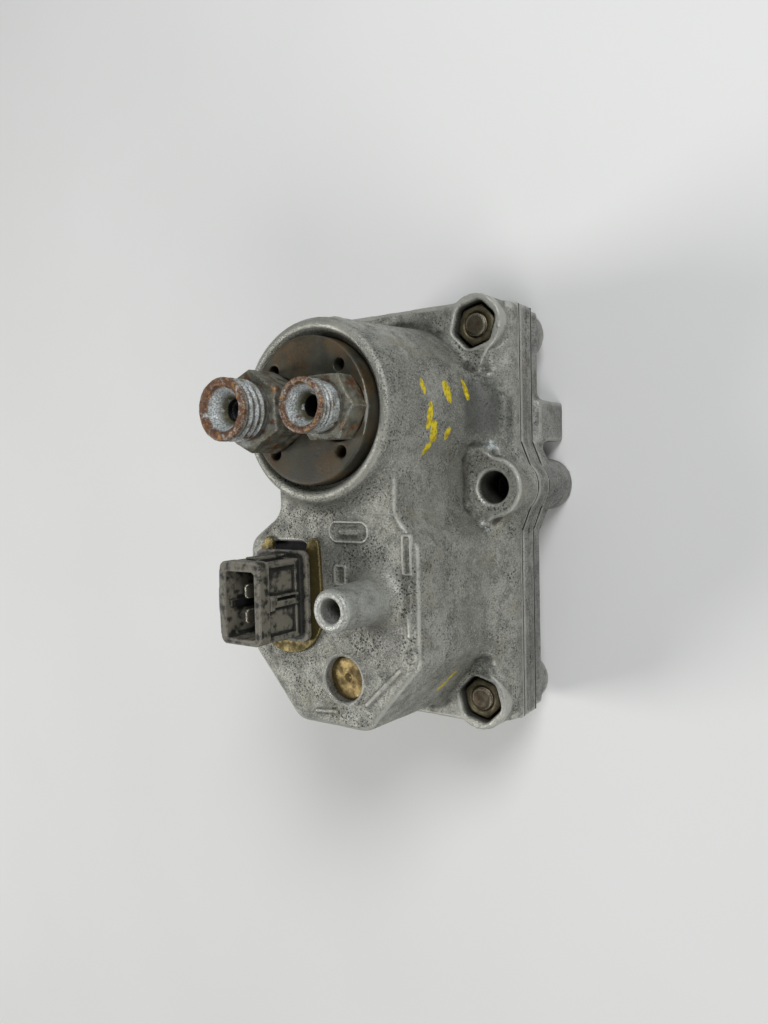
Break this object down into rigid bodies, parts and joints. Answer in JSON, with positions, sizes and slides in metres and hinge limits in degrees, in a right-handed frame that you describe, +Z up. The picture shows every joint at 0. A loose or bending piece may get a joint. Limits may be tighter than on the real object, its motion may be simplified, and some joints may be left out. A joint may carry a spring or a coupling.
{
  "type": "fuel warm-up pressure regulator",
  "caption": "Electrically heated bimetal pressure regulator with cast housing, connector, vacuum nipple and threaded fuel unions",
  "frame": {"origin": "middle of the body's box, on the plane of the mounting feet", "axes": "+X from the connector end to the fuel tower, +Z up along the unions, -Y the side with the foot lug"},
  "size_m": [0.095, 0.0606, 0.0778],
  "materials": {
    "cast_housing": "die cast, weathered and pitted",
    "cast_ring": "die cast, machined edges, weathered",
    "cast_cover": "die cast, weathered",
    "gasket_paper": "thin pressed gasket",
    "rubber_fabric": "rubberised fabric",
    "seal_rubber": "matt",
    "disc_steel": "dark machined steel, light rust film",
    "union_steel": "zinc plated, corroded and rusty",
    "bright_steel": "machined",
    "spring_steel": "drawn wire",
    "bimetal": "rolled strip",
    "brass": "dirty, stained",
    "copper": "soft annealed washer",
    "mica": "insulating sleeve",
    "heater_wire": "resistance wire",
    "connector_plastic": "glass-filled, dusty",
    "tinned_brass": "tinned",
    "clip_steel": "yellow passivated spring sheet",
    "zinc_yellow": "yellow zinc, dirty"
  },
  "bodies": {
    "housing": {"upper_housing": "cast_housing", "intermediate_ring": "cast_ring", "bottom_cover": "cast_cover", "housing_gasket": "gasket_paper", "vacuum_diaphragm": "rubber_fabric", "valve_body": "disc_steel", "inlet_union": "union_steel", "return_union": "union_steel", "inlet_seal": "copper", "return_seal": "copper", "valve_body_seal": "seal_rubber", "inlet_filter": "bright_steel", "fuel_diaphragm": "bright_steel", "outer_spring": "spring_steel", "lower_stop": "brass", "bimetal_post": "brass", "bimetal_clamp": "bright_steel", "connector_housing": "connector_plastic", "terminal_blade_left": "tinned_brass", "contact_strap_left": "brass", "terminal_blade_right": "tinned_brass", "contact_strap_right": "brass", "connector_seal": "seal_rubber", "connector_clip": "clip_steel", "flange_screw_front_left": "zinc_yellow", "flange_nut_front_left": "zinc_yellow", "flange_screw_front_right": "zinc_yellow", "flange_nut_front_right": "zinc_yellow", "flange_screw_rear_right": "zinc_yellow", "flange_nut_rear_right": "zinc_yellow", "flange_screw_rear_left": "zinc_yellow", "flange_nut_rear_left": "zinc_yellow"},
    "bimetal_arm": {"bimetal_strip": "bimetal", "heater_sleeve": "mica", "heater_winding": "heater_wire"},
    "pressure_cup": {"spring_cup": "bright_steel", "push_pin": "bright_steel"},
    "vacuum_plates": {"diaphragm_upper_plate": "bright_steel", "diaphragm_lower_plate": "bright_steel", "diaphragm_rivet": "bright_steel", "inner_spring": "spring_steel"}
  },
  "joints": [
    {"name": "bimetal_bend", "type": "hinge", "parent": "housing", "child": "bimetal_arm", "pos_m": [-0.0262, -0.0028, 0.042], "axis": [0, -1, 0], "range_deg": [0, 1.19]},
    {"name": "cup_lift", "type": "slide", "parent": "housing", "child": "pressure_cup", "axis": [0, 0, 1], "range_m": [0, 0.001], "deforming": ["outer_spring", "inner_spring"]},
    {"name": "vacuum_lift", "type": "slide", "parent": "housing", "child": "vacuum_plates", "axis": [0, 0, 1], "range_m": [0, 0.002], "stiffness_N_per_m": 1500, "springref_m": -0.003, "deforming": ["vacuum_diaphragm", "inner_spring"]}
  ],
  "couplings": [
    {"joint": "cup_lift", "follows": "bimetal_bend", "m_per_rad": 0.0481}
  ]
}
